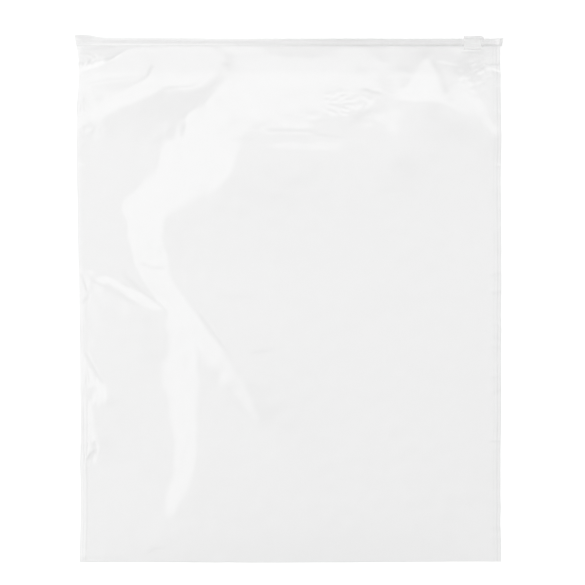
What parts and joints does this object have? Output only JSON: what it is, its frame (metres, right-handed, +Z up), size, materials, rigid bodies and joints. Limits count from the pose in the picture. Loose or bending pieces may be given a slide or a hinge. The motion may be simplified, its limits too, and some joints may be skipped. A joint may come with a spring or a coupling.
{
  "type": "slider zip bag",
  "caption": "Empty clear film bag lying flat, closed along one edge by a zip with a sliding clip; it holds and reseals food or small things.",
  "frame": {"origin": "on the surface the bag lies on, under the middle of the bounding box", "axes": "+X along the zip towards its closed end, where the slider rests, +Y from the bag's bottom fold to its zip, +Z up out of the bag's front"},
  "size_m": [0.3048, 0.3752, 0.0062],
  "materials": {
    "clear_film": "clear, glossy, lightly creased film",
    "zip_track": "clear extruded plastic, glossy",
    "slider": "translucent moulded plastic, smooth"
  },
  "bodies": {
    "bag": {"film": "clear_film", "zip": "zip_track"},
    "slider": {"slider": "slider"}
  },
  "joints": [
    {"name": "slider_slide", "type": "slide", "parent": "bag", "child": "slider", "axis": [1, 0, 0], "range_m": [-0.257, 0.005]}
  ]
}
